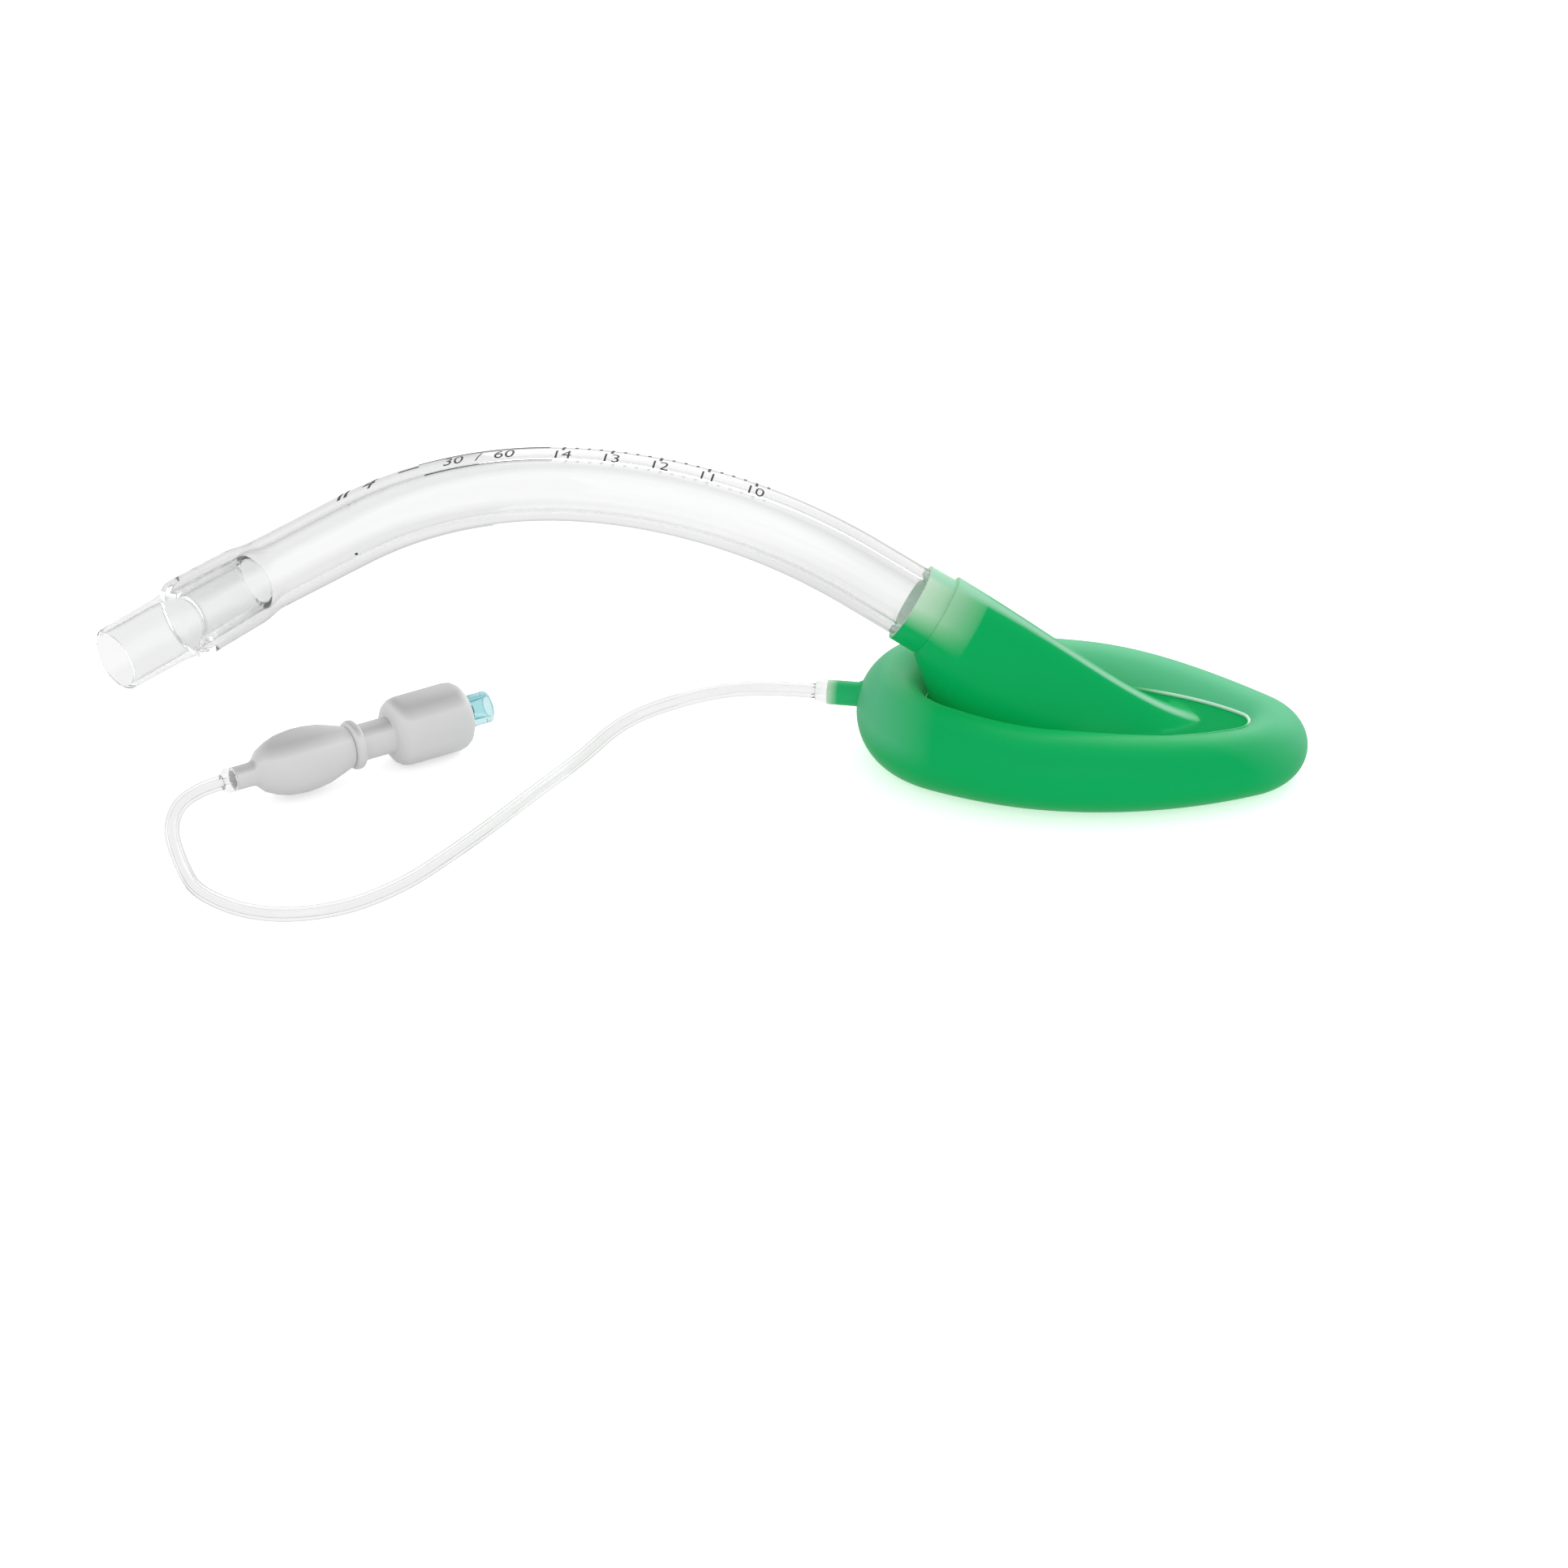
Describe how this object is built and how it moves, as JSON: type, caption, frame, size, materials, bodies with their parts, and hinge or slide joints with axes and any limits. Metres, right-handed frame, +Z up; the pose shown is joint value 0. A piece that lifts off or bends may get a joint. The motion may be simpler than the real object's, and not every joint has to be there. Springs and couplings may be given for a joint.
{
  "type": "laryngeal mask airway",
  "caption": "Curved clear airway tube with a tapered connector, a soft mask with an inflated oval cuff, and an inflation line to a pilot balloon with a sprung check valve.",
  "frame": {"origin": "on the surface that the airway lies on, under the middle of the length from the connector's rim to the tip of the cuff", "axes": "+X from the connector to the tip of the mask, +Y to the side away from the inflation line, +Z up; the airway's plane is y = 0"},
  "size_m": [0.2701, 0.1239, 0.0665],
  "materials": {
    "connector": "clear, glossy",
    "clear_tube": "clear soft PVC, glossy",
    "mask": "soft PVC, translucent green",
    "cuff": "soft PVC film, translucent green",
    "balloon": "thin soft PVC, milky",
    "valve_body": "moulded, satin white",
    "luer": "clear, pale blue",
    "plunger": "moulded, dark blue-green",
    "seal": "matt",
    "spring": "drawn wire"
  },
  "bodies": {
    "airway": {"airway_connector": "connector", "airway_tube": "clear_tube", "mask_body": "mask", "cuff": "cuff", "cuff_line_adapter": "clear_tube", "inflation_line": "clear_tube", "balloon_line_adapter": "clear_tube", "pilot_balloon": "balloon", "valve_housing": "valve_body", "valve_luer": "luer", "valve_spring": "spring"},
    "plunger": {"valve_plunger": "plunger", "valve_seal": "seal"}
  },
  "joints": [
    {"name": "plunger_press", "type": "slide", "parent": "airway", "child": "plunger", "axis": [-0.7683, -0.6401, 0], "range_m": [0, 0.0016], "stiffness_N_per_m": 300, "deforming": ["valve_spring"]}
  ]
}
